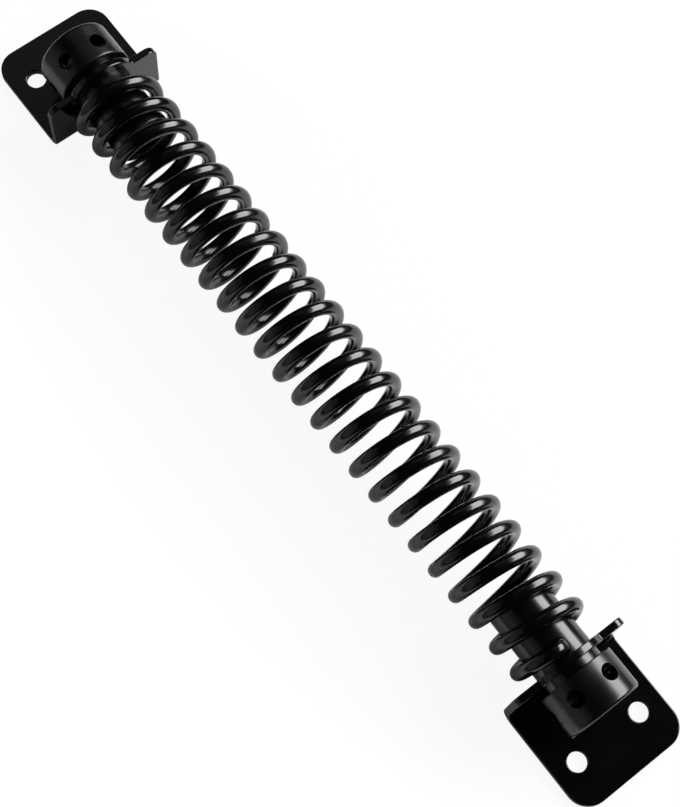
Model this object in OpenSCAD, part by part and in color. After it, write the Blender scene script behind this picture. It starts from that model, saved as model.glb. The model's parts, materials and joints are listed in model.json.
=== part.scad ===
// Gate spring closer: a torsion coil spring between two winders, each winder
// turning in a folded sheet bracket that is screwed to the gate or to the post.
// X runs along the spring, Z points away from the surface under the plates,
// and the origin is midway between the plates, on that surface.

/* [Overall] */
// Length over the outer edges of the two plates
overall_l = 254; // [236:1:290]
// Gap between the spring and the surface under the plates
floor_gap = 1.5; // [1:0.1:4]

/* [Bracket] */
// Thickness of the sheet
sheet_t = 2; // [1.5:0.1:2.4]
// Length of the plate, from its outer edge to the flange's spring side
plate_l = 31.5; // [30:0.5:38]
// Width of the plate and the flange
plate_w = 34; // [30:0.5:44]
// Radius of the plate's outer corners
plate_corner_r = 6; // [3:0.5:8]
// Inside radius of the fold
fold_r = 2; // [1:0.1:3]
// Height of the flange's shoulders above the back of the plate
shoulder_h = 19; // [15:0.5:21]
// Radius of the shoulders' corners
shoulder_r = 3; // [2:0.5:6]
// Sheet left round the barrel's hole at the top of the flange
arch_wall = 2.3; // [1.6:0.1:4]

/* [Screw holes] */
// Diameter of a screw hole
screw_d = 5.2; // [4:0.1:6]
// Distance between the two screw holes
screw_gap = 20; // [16:0.5:22]
// Distance from the plate's outer edge to the screw holes
screw_inset = 11; // [9:0.5:12]

/* [Winder] */
// Outside diameter of the barrel
barrel_d = 16.2; // [14:0.1:18]
// Wall of the barrel
barrel_wall = 2; // [1.5:0.1:2.8]
// Length of the barrel inside the spring, from the flange's spring side
barrel_reach = 18; // [12:0.5:30]
// Running clearance of the barrel in the flange, on the radius
run_clear = 0.1; // [0.05:0.05:0.3]
// Wall of the collar that is pressed on the barrel
collar_wall = 2.4; // [1.4:0.1:2.8]
// Length of the collar
collar_l = 11.5; // [10:0.5:14]
// Gap between the flange and the collar
collar_gap = 2; // [0.5:0.1:3]
// Bevel on the collar's outer rim
rim_bevel = 1.1; // [0.4:0.1:1.3]
// Bevel on the collar's rim next to the flange
back_bevel = 0.4; // [0.2:0.1:0.8]
// Diameter of a tommy bar hole
tommy_d = 4.5; // [3:0.1:5]
// Number of tommy bar holes round the collar
tommy_count = 6; // [4:2:8]
// Distance from the collar's rim next to the flange to the tommy bar holes
tommy_inset = 4.7; // [3.5:0.1:6]

/* [Spring] */
// Diameter of the spring wire
wire_d = 3.8; // [3:0.1:4.4]
// Turns from hook to hook
coil_turns = 23.5; // [18:0.5:25]
// Gap between the barrel and the turns, on the radius
coil_clear = 0.6; // [0.5:0.05:1.2]
// Gap between the last turn and the flange
end_gap = 0.8; // [0.6:0.1:2]
// Clearance of the wire in its hole in the barrel, on the radius
hook_clear = 0.3; // [0.2:0.05:0.5]
// Inside radius of the bend that turns the wire into the barrel
hook_bend_r = 0.5; // [0.3:0.1:0.6]
// Angle of the lower hook from straight up, towards +Y
hook_angle = -4; // [-180:1:180]

/* [Hidden] */
$fn = 64;

// Small extra length that takes a cut clean through a face
cut = 1;
half_turn = 180;

barrel_r = barrel_d / 2;
collar_r = barrel_r + collar_wall;
wire_r = wire_d / 2;
coil_r = barrel_r + coil_clear + wire_r;
axis_h = floor_gap + coil_r + wire_r;

fold_out_r = fold_r + sheet_t;
flange_x = overall_l / 2 - plate_l;
barrel_hole_r = barrel_r + run_clear;
arch_r = barrel_hole_r + arch_wall;

collar_x = flange_x + sheet_t + collar_gap;
tommy_x = collar_x + tommy_inset;
tommy_step = 360 / tommy_count;
hook_hole_r = wire_r + hook_clear;
hook_x = flange_x - end_gap - wire_r;

// Shape of the wire: rings along each turn and each end bend, sides round it
rings_per_turn = 15;
rings_per_bend = 6;
wire_sides = 8;

total_angle = 360 * coil_turns;
upper_hook_angle = hook_angle - total_angle;
pitch = 2 * hook_x / coil_turns;
// The end bend is an arc inside the coil that ends pointing at the axis
bend_r = wire_r + hook_bend_r;
bend_centre_r = coil_r - bend_r;
bend_end_r = sqrt(pow(bend_centre_r, 2) - pow(bend_r, 2));
bend_lead = atan2(bend_r, bend_end_r);
bend_sweep = 90 + bend_lead;
tail_l = wire_d;

// Points of the wire as [distance from the axis, angle from the upper hook]
function bend_point(sweep) =
    let (along = bend_centre_r + bend_r * cos(sweep),
         across = bend_r * sin(sweep))
    [norm([along, across]), bend_lead - atan2(across, along)];

bend_points = [for (i = [rings_per_bend:-1:1]) bend_point(bend_sweep * i / rings_per_bend)];
tail_point = [bend_end_r - tail_l, 0];
upper_end = concat([tail_point], bend_points);
lower_end = [for (i = [len(upper_end) - 1:-1:0]) [upper_end[i][0], total_angle - upper_end[i][1]]];

helix_angle = total_angle - 2 * bend_lead;
helix_rings = round(helix_angle / 360 * rings_per_turn);
helix = [for (i = [0:helix_rings]) [coil_r, bend_lead + helix_angle * i / helix_rings]];

function wire_place(point) =
    let (turn = upper_hook_angle + point[1])
    [pitch * point[1] / 360 - hook_x,
     point[0] * sin(turn),
     axis_h + point[0] * cos(turn)];

wire_line = [for (point = concat(upper_end, helix, lower_end)) wire_place(point)];
wire_last = len(wire_line) - 1;

function unit(v) = v / norm(v);
function wire_heading(i) =
    i < 2 ? unit(wire_line[1] - wire_line[0])
    : i > wire_last - 2 ? unit(wire_line[wire_last] - wire_line[wire_last - 1])
    : unit(wire_line[i + 1] - wire_line[i - 1]);

function wire_ring(i) =
    let (ahead = wire_heading(i),
         side = unit([1, 0, 0] - ahead * ahead[0]),
         up = cross(ahead, side))
    [for (j = [0:wire_sides - 1])
        wire_line[i] + wire_r * (side * cos(360 * j / wire_sides) + up * sin(360 * j / wire_sides))];

function ring_corner(i, j) = i * wire_sides + j % wire_sides;

// Least gap of the wire to itself, between points more than half a turn apart
neighbours = ceil(rings_per_turn / 2);
wire_gap = min([for (i = [0:wire_last]) for (j = [i + neighbours + 1:1:wire_last])
                norm(wire_line[i] - wire_line[j])]) - wire_d;
echo(least_gap_of_the_wire_to_itself_mm = wire_gap);

// Turns a part of the lower end round to the upper end
module at_upper_end() {
    rotate([0, 0, half_turn]) children();
}

// Carries a winder's part at its hook's angle, drawn on the X axis with the hook straight up
module on_axis(angle) {
    translate([0, 0, axis_h]) rotate([-angle, 0, 0]) children();
}

module along_x(r, l) {
    rotate([0, 90, 0]) cylinder(r = r, h = l);
}

// Ring of radial holes for the tommy bar, from the axis outwards
module tommy_holes() {
    for (i = [0:tommy_count - 1]) {
        translate([tommy_x, 0, 0]) rotate([tommy_step * (i + 0.5), 0, 0])
            cylinder(d = tommy_d, h = collar_r + cut);
    }
}

// Side view of the folded sheet, plate and flange up to the shoulders, as [X, Z]
module fold_profile() {
    translate([flange_x + fold_out_r, 0]) square([plate_l - fold_out_r, sheet_t]);
    translate([flange_x, fold_out_r]) square([sheet_t, shoulder_h - fold_out_r]);
    translate([flange_x + fold_out_r, fold_out_r]) intersection() {
        difference() {
            circle(fold_out_r);
            circle(fold_r);
        }
        translate([-fold_out_r, -fold_out_r]) square(fold_out_r);
    }
}

// What is cut from a square corner at the origin to round it, corner towards +X +Y
module corner_waste(r) {
    difference() {
        translate([-r, -r]) square(r + cut);
        translate([-r, -r]) circle(r);
        translate([-r - cut, -r - cut]) square([cut, r + 2 * cut]);
        translate([-r - cut, -r - cut]) square([r + 2 * cut, cut]);
    }
}

module plate_corners() {
    for (side = [0, 1]) mirror([0, side, 0])
        translate([overall_l / 2, plate_w / 2, -cut])
            linear_extrude(sheet_t + 2 * cut) corner_waste(plate_corner_r);
}

module shoulder_corners() {
    for (side = [0, 1]) mirror([0, side, 0])
        translate([flange_x - cut, plate_w / 2, shoulder_h]) rotate([90, 0, 90])
            linear_extrude(sheet_t + 2 * cut) corner_waste(shoulder_r);
}

// Round top of the flange over the barrel's hole
module flange_arch() {
    translate([flange_x, 0, 0]) rotate([90, 0, 90]) linear_extrude(sheet_t) {
        translate([0, axis_h]) intersection() {
            circle(arch_r);
            translate([-arch_r, 0]) square([2 * arch_r, arch_r]);
        }
        translate([-arch_r, fold_out_r]) square([2 * arch_r, axis_h - fold_out_r]);
    }
}

module bracket() {
    difference() {
        union() {
            difference() {
                translate([0, plate_w / 2, 0]) rotate([90, 0, 0])
                    linear_extrude(plate_w) fold_profile();
                plate_corners();
                shoulder_corners();
            }
            flange_arch();
        }
        translate([flange_x - cut, 0, axis_h]) along_x(barrel_hole_r, sheet_t + 2 * cut);
        for (side = [-1, 1])
            translate([overall_l / 2 - screw_inset, side * screw_gap / 2, -cut])
                cylinder(d = screw_d, h = sheet_t + 2 * cut);
    }
}

module barrel() {
    start_x = flange_x - barrel_reach;
    barrel_l = collar_x + collar_l - start_x;
    difference() {
        translate([start_x, 0, 0]) along_x(barrel_r, barrel_l);
        translate([start_x - cut, 0, 0]) along_x(barrel_r - barrel_wall, barrel_l + 2 * cut);
        tommy_holes();
        translate([hook_x, 0, 0]) cylinder(r = hook_hole_r, h = barrel_r + cut);
    }
}

module collar() {
    difference() {
        translate([collar_x, 0, 0]) rotate([0, 90, 0]) rotate_extrude() polygon([
            [barrel_r, 0],
            [collar_r - back_bevel, 0],
            [collar_r, back_bevel],
            [collar_r, collar_l - rim_bevel],
            [collar_r - rim_bevel, collar_l],
            [barrel_r, collar_l]]);
        tommy_holes();
    }
}

module lower_bracket() {
    color("#1b1b1d") bracket();
}

module upper_bracket() {
    color("#1b1b1d") at_upper_end() bracket();
}

module lower_barrel() {
    color("#222224") on_axis(hook_angle) barrel();
}

module upper_barrel() {
    color("#222224") on_axis(upper_hook_angle) at_upper_end() barrel();
}

module lower_collar() {
    color("#27272a") on_axis(hook_angle) collar();
}

module upper_collar() {
    color("#27272a") on_axis(upper_hook_angle) at_upper_end() collar();
}

// One wire from the upper barrel's hole to the lower barrel's, wound to the left
module coil_spring() {
    corners = [for (i = [0:wire_last]) each wire_ring(i)];
    skin = [for (i = [0:wire_last - 1]) for (j = [0:wire_sides - 1]) each [
        [ring_corner(i, j), ring_corner(i + 1, j + 1), ring_corner(i, j + 1)],
        [ring_corner(i, j), ring_corner(i + 1, j), ring_corner(i + 1, j + 1)]]];
    first_cap = [for (j = [1:wire_sides - 2])
        [ring_corner(0, 0), ring_corner(0, j), ring_corner(0, j + 1)]];
    last_cap = [for (j = [1:wire_sides - 2])
        [ring_corner(wire_last, 0), ring_corner(wire_last, j + 1), ring_corner(wire_last, j)]];
    color("#161617") polyhedron(corners, concat(skin, first_cap, last_cap), convexity = 20);
}

lower_bracket();
lower_barrel();
lower_collar();
coil_spring();
upper_barrel();
upper_collar();
upper_bracket();
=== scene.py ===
"""Looks of a gate spring closer: a coil spring between two winders, each in a folded sheet bracket."""

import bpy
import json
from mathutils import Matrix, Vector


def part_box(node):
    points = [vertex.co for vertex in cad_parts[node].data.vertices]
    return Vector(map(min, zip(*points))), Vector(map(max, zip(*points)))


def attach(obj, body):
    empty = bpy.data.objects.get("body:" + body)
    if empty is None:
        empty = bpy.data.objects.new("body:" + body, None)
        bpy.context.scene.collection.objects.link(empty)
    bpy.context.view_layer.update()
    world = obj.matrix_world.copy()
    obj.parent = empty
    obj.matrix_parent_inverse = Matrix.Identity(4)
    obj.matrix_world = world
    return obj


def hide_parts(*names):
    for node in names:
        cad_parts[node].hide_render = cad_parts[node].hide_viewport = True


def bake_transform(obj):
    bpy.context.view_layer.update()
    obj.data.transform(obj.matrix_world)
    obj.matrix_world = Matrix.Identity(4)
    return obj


bl_info = {
    "name": "Gate spring closer",
    "version": (1, 0, 0),
    "blender": (4, 5, 0),
    "location": "View3D > Sidebar > Gate Closer",
    "description": "Models and paints the pieces of a gate spring closer around its solids",
    "category": "Object",
}

import json
import math

import bmesh
import bpy
from bpy.props import FloatProperty, FloatVectorProperty, IntProperty, PointerProperty
from mathutils import Matrix, Vector

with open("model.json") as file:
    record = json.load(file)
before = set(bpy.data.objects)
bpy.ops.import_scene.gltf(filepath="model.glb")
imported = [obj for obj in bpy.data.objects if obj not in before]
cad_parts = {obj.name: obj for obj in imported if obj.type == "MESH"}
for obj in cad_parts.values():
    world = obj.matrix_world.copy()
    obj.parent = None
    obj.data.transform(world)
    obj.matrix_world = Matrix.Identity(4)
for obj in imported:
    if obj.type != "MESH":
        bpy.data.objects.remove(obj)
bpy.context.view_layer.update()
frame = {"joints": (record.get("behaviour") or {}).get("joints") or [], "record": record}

MM = 0.001
HALF_TURN = math.pi
QUARTER_TURN = math.pi / 2
SHARP = math.radians(40)
CREASE = math.radians(35)
FLAT = math.radians(0.5)
WELD = 0.002 * MM
FLOOR_DROP = 0.05 * MM

# Sides of the round forms.
DRILL_SIDES = 96
ARCH_SIDES = 128
FLANGE_HOLE_SIDES = 160
TUBE_SIDES = 192

# Size of the patches where the enamel has run thin.
THIN_PATCH = 9 * MM

# Margin round the holes' painted shade, where the paint loses its gloss, and the depth over which its gloss
# fades.
HOLE_MARGIN = 0.1 * MM
FADE_DEPTH = 0.4 * MM

MOUNTS = {mount["name"]: mount for mount in frame["record"]["mounts"]}
SCREWS = MOUNTS["lower_screws"]
TOMMY = MOUNTS["lower_tommy_hole"]
BRACKET_LOW, BRACKET_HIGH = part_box("lower_bracket")
BARREL_LOW, BARREL_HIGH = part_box("lower_barrel")
COLLAR_LOW, COLLAR_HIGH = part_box("lower_collar")
COIL_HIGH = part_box("coil_spring")[1]
AXIS_H = frame["joints"][0]["pos_m"][2]

TOMMY_X = TOMMY["pos_m"][0]
TOMMY_RADIUS = TOMMY["dims"]["r_mm"] * MM
TOMMY_COUNT = 6
TOMMY_STEP = 2 * HALF_TURN / TOMMY_COUNT

# The tommy holes stand half a step either side of the hook, which gives the hook's angle.
HOOK_ANGLE = math.atan2(TOMMY["axis"][1], TOMMY["axis"][2]) - TOMMY_STEP / 2


def linear(hex_colour):
    """Turns an sRGB hex colour into a linear colour with full alpha."""
    parts = [int(hex_colour[i:i + 2], 16) / 255 for i in (1, 3, 5)]
    return tuple(c / 12.92 if c <= 0.04045 else ((c + 0.055) / 1.055) ** 2.4 for c in parts) + (1.0,)


class BracketSizes(bpy.types.PropertyGroup):
    """Sizes of the folded sheet brackets."""

    sheet: FloatProperty(
        name="Sheet", description="Thickness of the sheet", default=2 * MM, unit="LENGTH")
    fold_radius: FloatProperty(
        name="Fold radius", description="Inside radius of the fold", default=2 * MM, unit="LENGTH")
    shoulder: FloatProperty(
        name="Shoulder height", description="Height of the flange's shoulders over the plate's back",
        default=19 * MM, unit="LENGTH")
    play: FloatProperty(
        name="Play", description="Clearance of the barrel in the flange, on the radius",
        default=0.1 * MM, unit="LENGTH")
    plate_corner: FloatProperty(
        name="Plate corner", description="Radius of the plate's outer corners",
        default=6 * MM, unit="LENGTH")
    shoulder_corner: FloatProperty(
        name="Shoulder corner", description="Radius of the shoulders' corners",
        default=3 * MM, unit="LENGTH")
    inner_corner: FloatProperty(
        name="Inner corner", description="Width of the rounding between the arch and a shoulder",
        default=0.4 * MM, unit="LENGTH")
    edge: FloatProperty(
        name="Edge", description="Rounding of the painted sheet edges", default=0.35 * MM, unit="LENGTH")


class WinderSizes(bpy.types.PropertyGroup):
    """Sizes of the barrels and the collars pressed on them."""

    wall: FloatProperty(
        name="Barrel wall", description="Wall of the barrel", default=2 * MM, unit="LENGTH")
    hook_hole: FloatProperty(
        name="Hook hole", description="Radius of the hole that takes the wire's end",
        default=2.2 * MM, unit="LENGTH")
    rim: FloatProperty(
        name="Rim bevel", description="Bevel on the collar's outer rim", default=1.1 * MM, unit="LENGTH")
    back_rim: FloatProperty(
        name="Back bevel", description="Bevel on the collar's rim next to the flange",
        default=0.4 * MM, unit="LENGTH")
    edge: FloatProperty(
        name="Edge", description="Rounding at the ends of the barrels and collars",
        default=0.25 * MM, unit="LENGTH")


class SpringSizes(bpy.types.PropertyGroup):
    """Sizes of the coil spring."""

    wire: FloatProperty(
        name="Wire", description="Diameter of the wire", default=3.8 * MM, unit="LENGTH")
    turns: FloatProperty(
        name="Turns", description="Turns from hook to hook", default=23.5)
    bend: FloatProperty(
        name="Bend", description="Inside radius of the bend into the barrel",
        default=0.5 * MM, unit="LENGTH")
    steps: IntProperty(
        name="Steps", description="Steps round each turn", default=60)
    sides: IntProperty(
        name="Sides", description="Sides round the wire", default=28)


class Finish(bpy.types.PropertyGroup):
    """Colours of the paint."""

    enamel: FloatVectorProperty(
        name="Enamel", description="Black of the stoved enamel", size=4, subtype="COLOR",
        default=linear("#030303"))
    thin_enamel: FloatVectorProperty(
        name="Thin enamel", description="Enamel where it has run thin", size=4, subtype="COLOR",
        default=linear("#060606"))


class Studio(bpy.types.PropertyGroup):
    """Camera and light."""

    camera: FloatVectorProperty(
        name="Camera", description="Place of the camera", size=3, subtype="TRANSLATION",
        default=(0.1055, -0.1006, 0.3994))
    target: FloatVectorProperty(
        name="Target", description="Point in the middle of the picture", size=3, subtype="TRANSLATION",
        default=(0.0117, -0.0034, 0.014))
    roll: FloatProperty(
        name="Roll", description="Turn of the camera about its own view", default=math.radians(8.95),
        subtype="ANGLE")
    lens: FloatProperty(
        name="Lens", description="Focal length in millimetres on a 36 mm sensor", default=72.52)
    key: FloatProperty(
        name="Key", description="Radiance of the key softbox, where 1 is white", default=10.5)
    table: FloatProperty(
        name="Table lamp", description="Radiance of the lamp over the table, where 1 is white",
        default=0.35)
    fill: FloatProperty(
        name="Fill", description="Radiance of the fill card, where 1 is white", default=0.3)
    # Painted light: the reach of the pool of light painted on the table.
    light_pool_reach: FloatVectorProperty(
        name="Card reach", description="Reach of the white card along and across the object", size=2,
        subtype="XYZ", default=(0.24, 0.1))


def deselect():
    """Leaves edit mode and deselects everything."""
    if bpy.context.object and bpy.context.object.mode != "OBJECT":
        bpy.ops.object.mode_set(mode="OBJECT")
    bpy.ops.object.select_all(action="DESELECT")


def take(piece):
    """Makes a piece the only one selected."""
    deselect()
    piece.select_set(True)
    bpy.context.view_layer.objects.active = piece


def settle(piece):
    """Moves a piece's place, turn and scale into its mesh."""
    take(piece)
    bpy.ops.object.transform_apply(location=True, rotation=True, scale=True)


def edit(piece):
    """Opens a piece's mesh for editing."""
    take(piece)
    bpy.ops.object.mode_set(mode="EDIT")


def pick(kind, test):
    """Selects the verts or edges that pass a test, in the mesh being edited, and fails if none do."""
    mesh = bmesh.from_edit_mesh(bpy.context.edit_object.data)
    bpy.ops.mesh.select_mode(type={"verts": "VERT", "edges": "EDGE"}[kind])
    bpy.ops.mesh.select_all(action="DESELECT")
    picked = [part for part in getattr(mesh, kind) if test(part)]
    if not picked:
        raise RuntimeError(f"No {kind} to shape on {bpy.context.edit_object.name}")
    for part in picked:
        part.select_set(True)
    bmesh.update_edit_mesh(bpy.context.edit_object.data)


def face_outward():
    """Turns the faces of the mesh being edited outward."""
    bpy.ops.mesh.select_all(action="SELECT")
    bpy.ops.mesh.normals_make_consistent(inside=False)


def near(value, goal):
    """True within a hundredth of a millimetre."""
    return abs(value - goal) < 0.01 * MM


def apply_modifier(piece, kind, **settings):
    """Adds a modifier to a piece, sets it and applies it."""
    modifier = piece.modifiers.new(kind.title(), kind)
    for name, value in settings.items():
        setattr(modifier, name, value)
    bpy.context.view_layer.objects.active = piece
    bpy.ops.object.modifier_apply(modifier=modifier.name)


def cut(piece, cutters):
    """Cuts a piece with the cutters and removes them."""
    for cutter in cutters:
        apply_modifier(piece, "BOOLEAN", operation="DIFFERENCE", object=cutter, solver="EXACT")
        bpy.data.objects.remove(cutter)


def rod(radius, start, end, sides=DRILL_SIDES):
    """Adds a round rod between two points, as a cutter."""
    start, end = Vector(start), Vector(end)
    deselect()
    bpy.ops.mesh.primitive_cylinder_add(vertices=sides, radius=radius, depth=(end - start).length)
    made = bpy.context.object
    made.rotation_mode = "QUATERNION"
    made.rotation_quaternion = (end - start).to_track_quat("Z", "Y")
    made.location = (start + end) / 2
    settle(made)
    return made


def round_edges(piece, width):
    """Rounds the sharp edges, as a coat of paint does."""
    apply_modifier(
        piece, "BEVEL", width=width, segments=3, limit_method="ANGLE",
        angle_limit=SHARP, use_clamp_overlap=False, loop_slide=False)


def smooth(piece):
    """Smooths the shading, all but the sharp edges."""
    take(piece)
    bpy.ops.object.shade_smooth_by_angle(angle=CREASE)
    apply_modifier(piece, "WEIGHTED_NORMAL", keep_sharp=True, weight=80)


def copy_piece(piece, name):
    """Copies a piece with its own mesh."""
    made = piece.copy()
    made.data = piece.data.copy()
    made.name = name
    bpy.context.scene.collection.objects.link(made)
    return made


def hand_over(piece, node, body, material):
    """Paints a piece, sets it on its body and lets it stand for its solid."""
    piece.data.materials.clear()
    piece.data.materials.append(material)
    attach(piece, body)
    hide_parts(node)


def add_node(tree, kind, inputs=None, **settings):
    """Adds a node, sets it, and fills its inputs with values or with other nodes' outputs."""
    node = tree.nodes.new(kind)
    for name, value in settings.items():
        setattr(node, name, value)
    for name, value in (inputs or {}).items():
        if isinstance(value, bpy.types.NodeSocket):
            tree.links.new(value, node.inputs[name])
        else:
            node.inputs[name].default_value = value
    return node


def painted_recess_shade(tree, place, surface, in_holes_only):
    """Painted shade in the recesses: 1 on the outside, and 0 a little below the surface's radius, where the
    gloss is taken off.
    """
    apart = add_node(tree, "ShaderNodeVectorMath", {0: place, 1: (0, 0, AXIS_H)}, operation="SUBTRACT")
    across = add_node(tree, "ShaderNodeVectorMath", {
        0: apart.outputs["Vector"], 1: (0, 1, 1)}, operation="MULTIPLY")
    reach = add_node(tree, "ShaderNodeVectorMath", {0: across.outputs["Vector"]}, operation="LENGTH")
    depth = add_node(tree, "ShaderNodeMapRange", {
        "Value": reach.outputs["Value"], "From Min": surface - FADE_DEPTH, "From Max": surface})
    if not in_holes_only:
        return depth.outputs["Result"]
    # Clear of the tommy holes there is no painted shade, and the paint is as glossy as on the outside.
    along = add_node(tree, "ShaderNodeSeparateXYZ", {0: place}).outputs["X"]
    from_middle = add_node(tree, "ShaderNodeMath", {0: along}, operation="ABSOLUTE")
    beside = add_node(tree, "ShaderNodeMath", {
        0: from_middle.outputs["Value"], 1: TOMMY_X}, operation="SUBTRACT")
    off = add_node(tree, "ShaderNodeMath", {0: beside.outputs["Value"]}, operation="ABSOLUTE")
    clear = add_node(tree, "ShaderNodeMath", {
        0: off.outputs["Value"], 1: TOMMY_RADIUS + HOLE_MARGIN}, operation="GREATER_THAN")
    return add_node(tree, "ShaderNodeMath", {
        0: clear.outputs["Value"], 1: depth.outputs["Result"]}, operation="MAXIMUM").outputs["Value"]


def black_enamel(name, peel, peel_height, roughness, surface=None, in_holes_only=False):
    """Stoved black enamel on steel: deep and glossy, with a faint orange peel from the spray."""
    finish = bpy.context.scene.closer_finish
    material = bpy.data.materials.new(name)
    material.use_nodes = True
    tree = material.node_tree
    tree.nodes.clear()
    place = add_node(tree, "ShaderNodeTexCoord").outputs["Object"]
    cloud = add_node(tree, "ShaderNodeTexNoise", {
        "Vector": place, "Scale": 1 / THIN_PATCH, "Detail": 3.0, "Roughness": 0.55})
    skin = add_node(tree, "ShaderNodeTexNoise", {
        "Vector": place, "Scale": 1 / peel, "Detail": 2.0, "Roughness": 0.5})
    colour = add_node(tree, "ShaderNodeMix", {
        "Factor": cloud.outputs["Fac"], "A": finish.enamel, "B": finish.thin_enamel},
        data_type="RGBA")
    dull = add_node(tree, "ShaderNodeMapRange", {
        "Value": cloud.outputs["Fac"], "From Min": 0.3, "From Max": 0.7,
        "To Min": roughness[0], "To Max": roughness[1]})
    bump = add_node(tree, "ShaderNodeBump", {
        "Height": skin.outputs["Fac"], "Strength": 0.35, "Distance": peel_height})
    paint = add_node(tree, "ShaderNodeBsdfPrincipled", {
        "Base Color": colour.outputs["Result"], "Roughness": dull.outputs["Result"],
        "Normal": bump.outputs["Normal"], "IOR": 1.52})
    # Painted shade: deep in the bore and the holes nearly all the paint's gloss is taken away, so that they
    # look dark.
    if surface:
        spray = painted_recess_shade(tree, place, surface, in_holes_only)
        specular_with_recess_shade = add_node(tree, "ShaderNodeMapRange", {"Value": spray, "To Min": 0.04, "To Max": 0.5})
        tree.links.new(specular_with_recess_shade.outputs["Result"], paint.inputs["Specular IOR Level"])
    add_node(tree, "ShaderNodeOutputMaterial", {"Surface": paint.outputs["BSDF"]})
    return material


class CLOSER_OT_brackets(bpy.types.Operator):
    """Folds the two sheet brackets and drills them"""

    bl_idname = "closer.brackets"
    bl_label = "Brackets"

    def execute(self, context):
        size = context.scene.closer_bracket
        fold = size.fold_radius + size.sheet
        outer, flange = BRACKET_HIGH.x, BRACKET_LOW.x
        half_width = BRACKET_HIGH.y
        arch_radius = BRACKET_HIGH.z - AXIS_H

        deselect()
        bpy.ops.mesh.primitive_plane_add(
            size=1, location=(outer, 0, size.sheet / 2), rotation=(0, QUARTER_TURN, 0))
        bracket = context.object
        bracket.name = "lower_bracket_sheet"
        bracket.scale = (size.sheet, 2 * half_width, 1)
        settle(bracket)

        edit(bracket)
        bpy.ops.mesh.select_all(action="SELECT")
        bpy.ops.mesh.extrude_region_move(
            TRANSFORM_OT_translate={"value": (flange + fold - outer, 0, 0)})
        bpy.ops.mesh.spin(
            steps=12, angle=QUARTER_TURN, center=(flange + fold, 0, fold), axis=(0, -1, 0))
        bpy.ops.mesh.extrude_region_move(
            TRANSFORM_OT_translate={"value": (0, 0, BRACKET_HIGH.z)})

        def through(edge):
            return near(edge.verts[0].co.y, edge.verts[1].co.y)

        def plate_corner(edge):
            return through(edge) and all(near(v.co.x, outer) for v in edge.verts)

        def on_shoulder(edge):
            return through(edge) and all(near(v.co.z, size.shoulder) for v in edge.verts)

        def shoulder_corner(edge):
            return on_shoulder(edge) and near(abs(edge.verts[0].co.y), half_width)

        def inner_corner(edge):
            return on_shoulder(edge) and abs(edge.verts[0].co.y) < arch_radius

        pick("edges", plate_corner)
        bpy.ops.mesh.bevel(offset=size.plate_corner, segments=14, affect="EDGES")
        face_outward()
        deselect()

        # What stands over the shoulders is cut away, all but the arch round the barrel's hole.
        past = 4 * fold
        bpy.ops.mesh.primitive_cube_add(size=1, location=(flange, 0, size.shoulder + BRACKET_HIGH.z))
        waste = context.object
        waste.scale = (past, 4 * half_width, 2 * BRACKET_HIGH.z)
        settle(waste)
        cut(waste, [rod(arch_radius, (flange - past, 0, AXIS_H), (flange + past, 0, AXIS_H), ARCH_SIDES)])
        screw_x, screw_r = SCREWS["pos_m"][0], SCREWS["dims"]["hole_r_mm"] * MM
        screw_y = SCREWS["dims"]["spacing_y_mm"] * MM / 2
        screws = [rod(screw_r, (screw_x, y, -fold), (screw_x, y, fold)) for y in (-screw_y, screw_y)]
        cut(bracket, [waste] + screws)

        edit(bracket)
        pick("edges", shoulder_corner)
        bpy.ops.mesh.bevel(offset=size.shoulder_corner, segments=12, affect="EDGES")
        pick("edges", inner_corner)
        bpy.ops.mesh.bevel(offset=size.inner_corner, segments=6, affect="EDGES")
        bpy.ops.mesh.select_all(action="SELECT")
        bpy.ops.mesh.remove_doubles(threshold=WELD)
        bpy.ops.mesh.dissolve_limited(angle_limit=FLAT)
        deselect()
        round_edges(bracket, size.edge)
        hole = BARREL_HIGH.y + size.play
        cut(bracket, [rod(hole, (flange - fold, 0, AXIS_H), (flange + fold, 0, AXIS_H), FLANGE_HOLE_SIDES)])
        smooth(bracket)

        upper = copy_piece(bracket, "upper_bracket_sheet")
        upper.rotation_euler.z = HALF_TURN
        settle(upper)
        enamel = black_enamel(
            "black_stoved_enamel_on_sheet_steel", peel=1.4 * MM, peel_height=0.02 * MM,
            roughness=(0.1, 0.17))
        hand_over(bracket, "lower_bracket", "lower_bracket", enamel)
        hand_over(upper, "upper_bracket", "upper_bracket", enamel)
        return {"FINISHED"}


def on_winder(piece, angle, upper):
    """Sets a winder's piece, modelled on the X axis with its hook straight up, at its end and angle."""
    piece.rotation_euler = (angle, 0, HALF_TURN) if upper else (-angle, 0, 0)
    piece.location.z = AXIS_H
    settle(piece)


def upper_hook_angle():
    """Angle of the upper hook, from straight up towards +Y."""
    return HOOK_ANGLE - 2 * HALF_TURN * bpy.context.scene.closer_spring.turns


def hook_place():
    """Distance of each hook from the middle of the spring."""
    return COIL_HIGH.x - bpy.context.scene.closer_spring.wire / 2


def radial(turn):
    """Direction from the axis at an angle from straight up, towards +Y."""
    return Vector((0, math.sin(turn), math.cos(turn)))


def tommy_drills():
    """Rods through the axis for the ring of tommy bar holes, on a winder with its hook straight up."""
    middle = Vector((TOMMY_X, 0, 0))
    reach = 2 * COLLAR_HIGH.y
    made = []
    for i in range(TOMMY_COUNT // 2):
        angle = TOMMY_STEP * (i + 0.5)
        way = radial(angle) * reach
        made.append(rod(TOMMY_RADIUS, middle - way, middle + way))
    return made


def place_both(piece, upper_name, nodes, material):
    """Sets a winder's piece at the lower end, and a copy of it at the upper end."""
    upper = copy_piece(piece, upper_name)
    on_winder(piece, HOOK_ANGLE, False)
    on_winder(upper, upper_hook_angle(), True)
    hand_over(piece, nodes[0], "lower_winder", material)
    hand_over(upper, nodes[1], "upper_winder", material)


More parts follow.
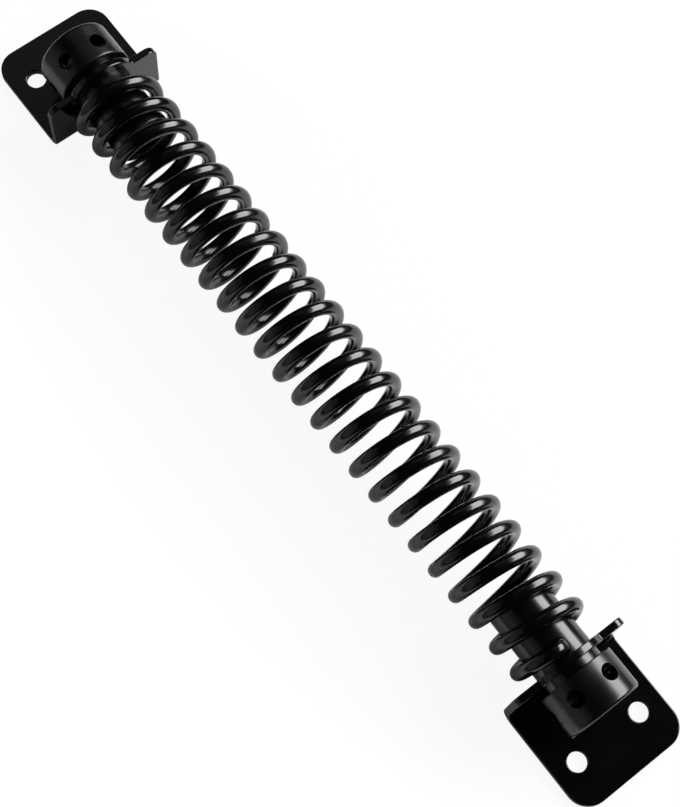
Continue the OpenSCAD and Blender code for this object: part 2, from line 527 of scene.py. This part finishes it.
class CLOSER_OT_barrels(bpy.types.Operator):
    """Makes the two tubes that turn in the flanges and hold the wire's ends"""

    bl_idname = "closer.barrels"
    bl_label = "Barrels"

    def execute(self, context):
        size = context.scene.closer_winder
        radius = BARREL_HIGH.y
        deselect()
        bpy.ops.mesh.primitive_cylinder_add(
            vertices=TUBE_SIDES, radius=radius, depth=BARREL_HIGH.x - BARREL_LOW.x, end_fill_type="NOTHING",
            location=((BARREL_LOW.x + BARREL_HIGH.x) / 2, 0, 0), rotation=(0, QUARTER_TURN, 0))
        barrel = context.object
        barrel.name = "lower_barrel_tube"
        settle(barrel)
        apply_modifier(barrel, "SOLIDIFY", thickness=size.wall, offset=-1)
        hook_x = hook_place()
        hook = rod(size.hook_hole, (hook_x, 0, 0), (hook_x, 0, 2 * radius))
        round_edges(barrel, size.edge)
        cut(barrel, tommy_drills() + [hook])
        smooth(barrel)
        # The bore and the walls of the holes get painted shade, with nearly no gloss.
        enamel = black_enamel(
            "black_stoved_enamel_on_tube", peel=1.1 * MM, peel_height=0.012 * MM, roughness=(0.16, 0.26),
            surface=radius - size.edge)
        place_both(barrel, "upper_barrel_tube", ("lower_barrel", "upper_barrel"), enamel)
        return {"FINISHED"}


class CLOSER_OT_collars(bpy.types.Operator):
    """Turns the two collars and drills their tommy bar holes"""

    bl_idname = "closer.collars"
    bl_label = "Collars"

    def execute(self, context):
        size = context.scene.closer_winder
        inner, outer = BARREL_HIGH.y, COLLAR_HIGH.y
        back, front = COLLAR_LOW.x, COLLAR_HIGH.x
        deselect()
        bpy.ops.mesh.primitive_plane_add(
            size=1, location=((back + front) / 2, 0, (inner + outer) / 2), rotation=(QUARTER_TURN, 0, 0))
        collar = context.object
        collar.name = "lower_collar_ring"
        collar.scale = (front - back, outer - inner, 1)
        settle(collar)
        edit(collar)
        bpy.ops.mesh.select_all(action="SELECT")
        bpy.ops.mesh.delete(type="ONLY_FACE")
        for x, bevel in ((front, size.rim), (back, size.back_rim)):
            pick("verts", lambda v: near(v.co.x, x) and near(v.co.z, outer))
            bpy.ops.mesh.bevel(offset=bevel, segments=5, affect="VERTICES")
        # Short faces on the outside keep the shading clean round the holes.
        pick("edges", lambda e: all(near(v.co.z, outer) for v in e.verts))
        bpy.ops.mesh.subdivide(number_cuts=20)
        bpy.ops.mesh.select_all(action="SELECT")
        bpy.ops.mesh.spin(steps=TUBE_SIDES, angle=2 * HALF_TURN, center=(0, 0, 0), axis=(1, 0, 0))
        bpy.ops.mesh.select_all(action="SELECT")
        bpy.ops.mesh.remove_doubles(threshold=WELD)
        face_outward()
        deselect()
        round_edges(collar, size.edge)
        cut(collar, tommy_drills())
        smooth(collar)
        # The walls of the tommy holes get painted shade, with nearly no gloss.
        enamel = black_enamel(
            "black_stoved_enamel_on_turned_steel", peel=1.1 * MM, peel_height=0.012 * MM,
            roughness=(0.24, 0.34), surface=outer - HOLE_MARGIN, in_holes_only=True)
        place_both(collar, "upper_collar_ring", ("lower_collar", "upper_collar"), enamel)
        return {"FINISHED"}


class CLOSER_OT_spring(bpy.types.Operator):
    """Winds the spring from one wire and bends its ends into the barrels"""

    bl_idname = "closer.spring"
    bl_label = "Spring"

    def execute(self, context):
        size = context.scene.closer_spring
        wire = size.wire / 2
        coil = COIL_HIGH.z - AXIS_H - wire
        hook_x = hook_place()
        bend = wire + size.bend
        bend_centre = coil - bend
        lead = math.asin(bend / bend_centre)
        first, last = upper_hook_angle() + lead, HOOK_ANGLE - lead

        deselect()
        bpy.ops.mesh.primitive_circle_add(
            vertices=size.sides, radius=wire, location=(-hook_x, 0, coil), rotation=(QUARTER_TURN, 0, 0))
        spring = context.object
        spring.name = "coil_spring_wire"
        settle(spring)
        spring.rotation_euler.x = -first
        settle(spring)
        steps = round((last - first) / (2 * HALF_TURN) * size.steps)
        apply_modifier(
            spring, "SCREW", axis="X", angle=first - last, screw_offset=2 * hook_x,
            steps=steps, render_steps=steps, use_smooth_shade=True)

        edit(spring)
        for side, turn, hook in ((-1, first, upper_hook_angle()), (1, last, HOOK_ANGLE)):
            pick("edges", lambda e: e.is_boundary and e.verts[0].co.x * side > 0)
            bpy.ops.mesh.spin(
                steps=14, angle=QUARTER_TURN + lead, axis=(side, 0, 0),
                center=radial(turn) * bend_centre + Vector((side * hook_x, 0, 0)))
            bpy.ops.mesh.extrude_edges_move(
                TRANSFORM_OT_translate={"value": -radial(hook) * size.wire})
            bpy.ops.mesh.edge_face_add()
        bpy.ops.mesh.select_all(action="SELECT")
        bpy.ops.mesh.remove_doubles(threshold=WELD)
        face_outward()
        take(spring)
        bpy.ops.object.shade_smooth_by_angle(angle=SHARP)
        spring.location.z = AXIS_H
        settle(spring)
        spring.data.materials.append(black_enamel(
            "black_enamel_on_spring_wire", peel=1.3 * MM, peel_height=0.012 * MM, roughness=(0.12, 0.22)))
        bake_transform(spring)
        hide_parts("coil_spring")
        return {"FINISHED"}


def bearing(azimuth, elevation):
    """Direction at an angle round from +X towards +Y and an angle up from the floor."""
    flat = math.cos(elevation)
    return Vector((flat * math.cos(azimuth), flat * math.sin(azimuth), math.sin(elevation)))


def softbox(name, azimuth, elevation, width, height, radiance):
    """Hangs a rectangular light a metre from the object, facing it, with an even glow."""
    way = bearing(math.radians(azimuth), math.radians(elevation))
    deselect()
    bpy.ops.object.light_add(type="AREA", location=way)
    lamp = bpy.context.object
    lamp.name = name
    lamp.rotation_euler = way.to_track_quat("Z", "Y").to_euler()
    lamp.data.shape = "RECTANGLE"
    lamp.data.size, lamp.data.size_y = width, height
    lamp.data.energy = radiance * math.pi * width * height
    return lamp


def table_with_light_pool():
    """Table under the object: white to the camera; to the paint, a painted pool of light, white near the
    object and dark past its edge.
    """
    studio = bpy.context.scene.closer_studio
    material = bpy.data.materials.new("white_card_table")
    material.use_nodes = True
    tree = material.node_tree
    tree.nodes.clear()
    place = add_node(tree, "ShaderNodeTexCoord").outputs["Object"]
    spread = add_node(tree, "ShaderNodeVectorMath", {
        0: place, 1: (1 / studio.light_pool_reach[0], 1 / studio.light_pool_reach[1], 0)}, operation="MULTIPLY")
    reach = add_node(tree, "ShaderNodeVectorMath", {0: spread.outputs["Vector"]}, operation="LENGTH")
    # Painted light: the table's colour is white near the object and fades to dark past the reach, a pool of
    # light that the paint reflects.
    white = add_node(tree, "ShaderNodeMapRange", {
        "Value": reach.outputs["Value"], "From Min": 0.85, "From Max": 1.15,
        "To Min": 0.85, "To Max": 0.02}, interpolation_type="SMOOTHSTEP")
    glow = add_node(tree, "ShaderNodeMapRange", {
        "Value": reach.outputs["Value"], "From Min": 0.5, "From Max": 1.15,
        "To Min": 1.0, "To Max": 1.3}, interpolation_type="SMOOTHSTEP")
    card = add_node(tree, "ShaderNodeBsdfDiffuse", {"Color": white.outputs["Result"]})
    # Painted light: the table glows a little on the fill card's side, in place of the fill light falling
    # there, which shows in the paint alone.
    side = add_node(tree, "ShaderNodeSeparateXYZ", {0: place}).outputs["Y"]
    bounce = add_node(tree, "ShaderNodeMapRange", {
        "Value": side, "From Min": -34 * MM, "From Max": -14 * MM,
        "To Min": studio.fill / 3, "To Max": 0.0}, interpolation_type="SMOOTHSTEP")
    light = add_node(tree, "ShaderNodeEmission", {"Strength": bounce.outputs["Result"]})
    table = add_node(tree, "ShaderNodeAddShader", {0: card.outputs["BSDF"], 1: light.outputs["Emission"]})
    lit = add_node(tree, "ShaderNodeEmission", {"Strength": glow.outputs["Result"]})
    # The camera keeps a small share of the card as it is lit, for the object's shadow.
    seen = add_node(tree, "ShaderNodeLightPath").outputs["Is Camera Ray"]
    share = add_node(tree, "ShaderNodeMath", {0: seen, 1: 0.92}, operation="MULTIPLY")
    both = add_node(tree, "ShaderNodeMixShader", {
        0: share.outputs["Value"], 1: table.outputs["Shader"], 2: lit.outputs["Emission"]})
    add_node(tree, "ShaderNodeOutputMaterial", {"Surface": both.outputs["Shader"]})
    return material


def studio_walls():
    """World that is white to the camera and nearly dark to the paint, as the walls of a studio are."""
    world = bpy.data.worlds.new("studio_walls")
    world.use_nodes = True
    tree = world.node_tree
    tree.nodes.clear()
    seen = add_node(tree, "ShaderNodeLightPath").outputs["Is Camera Ray"]
    glow = add_node(tree, "ShaderNodeMapRange", {"Value": seen, "To Min": 0.01, "To Max": 1.0})
    wall = add_node(tree, "ShaderNodeBackground", {
        "Color": linear("#ffffff"), "Strength": glow.outputs["Result"]})
    add_node(tree, "ShaderNodeOutputWorld", {"Surface": wall.outputs["Background"]})
    return world


class CLOSER_OT_stage(bpy.types.Operator):
    """Sets the floor, the light and the camera"""

    bl_idname = "closer.stage"
    bl_label = "Stage"

    def execute(self, context):
        scene = context.scene
        studio = scene.closer_studio
        scene.view_settings.view_transform = "Standard"
        scene.world = studio_walls()

        deselect()
        bpy.ops.mesh.primitive_plane_add(size=8, location=(0, 0, -FLOOR_DROP))
        floor = context.object
        floor.name = "floor"
        floor.data.materials.append(table_with_light_pool())

        # The key runs wide and low on the right; its foot is what ends the bright bar on each turn.
        softbox("key_softbox", azimuth=80, elevation=32, width=1.2, height=0.56, radiance=studio.key)
        softbox("key_top", azimuth=80, elevation=53, width=0.9, height=0.2, radiance=studio.key / 16)
        softbox("fill_card", azimuth=-105, elevation=10, width=2.0, height=0.6, radiance=studio.fill)
        softbox("fill_top", azimuth=-105, elevation=36, width=1.6, height=0.3, radiance=studio.fill / 2)
        softbox("end_card", azimuth=152, elevation=56, width=0.5, height=0.5, radiance=studio.fill / 2)
        # The lamp overhead whitens the table and is kept out of the paint's reflections.
        lamp = softbox("table_lamp", azimuth=0, elevation=90, width=1.5, height=1.5, radiance=studio.table)
        lamp.visible_glossy = False

        bpy.ops.object.camera_add(location=studio.camera)
        camera = context.object
        way = Vector(studio.target) - Vector(studio.camera)
        turn = way.to_track_quat("-Z", "Y").to_matrix() @ Matrix.Rotation(studio.roll, 3, "Z")
        camera.rotation_euler = turn.to_euler()
        camera.data.lens = studio.lens
        camera.data.clip_start = 0.01
        scene.camera = camera
        return {"FINISHED"}


class CLOSER_PT_panel(bpy.types.Panel):
    """Lists the pieces of the closer"""

    bl_idname = "CLOSER_PT_panel"
    bl_label = "Gate Closer"
    bl_space_type = "VIEW_3D"
    bl_region_type = "UI"
    bl_category = "Gate Closer"

    def draw(self, context):
        for operator in OPERATORS:
            self.layout.operator(operator.bl_idname)


SETTINGS = {
    "closer_bracket": BracketSizes,
    "closer_winder": WinderSizes,
    "closer_spring": SpringSizes,
    "closer_finish": Finish,
    "closer_studio": Studio,
}
OPERATORS = (CLOSER_OT_brackets, CLOSER_OT_barrels, CLOSER_OT_collars, CLOSER_OT_spring, CLOSER_OT_stage)
CLASSES = (*SETTINGS.values(), *OPERATORS, CLOSER_PT_panel)


def register():
    """Registers the classes and their settings."""
    for made in CLASSES:
        bpy.utils.register_class(made)
    for name, group in SETTINGS.items():
        setattr(bpy.types.Scene, name, PointerProperty(type=group))


def unregister():
    """Takes the settings and the classes out again."""
    for name in SETTINGS:
        delattr(bpy.types.Scene, name)
    for made in reversed(CLASSES):
        bpy.utils.unregister_class(made)


def main():
    """Makes every piece in order."""
    register()
    bpy.ops.closer.brackets()
    bpy.ops.closer.barrels()
    bpy.ops.closer.collars()
    bpy.ops.closer.spring()
    bpy.ops.closer.stage()


if __name__ == "__main__":
    main()
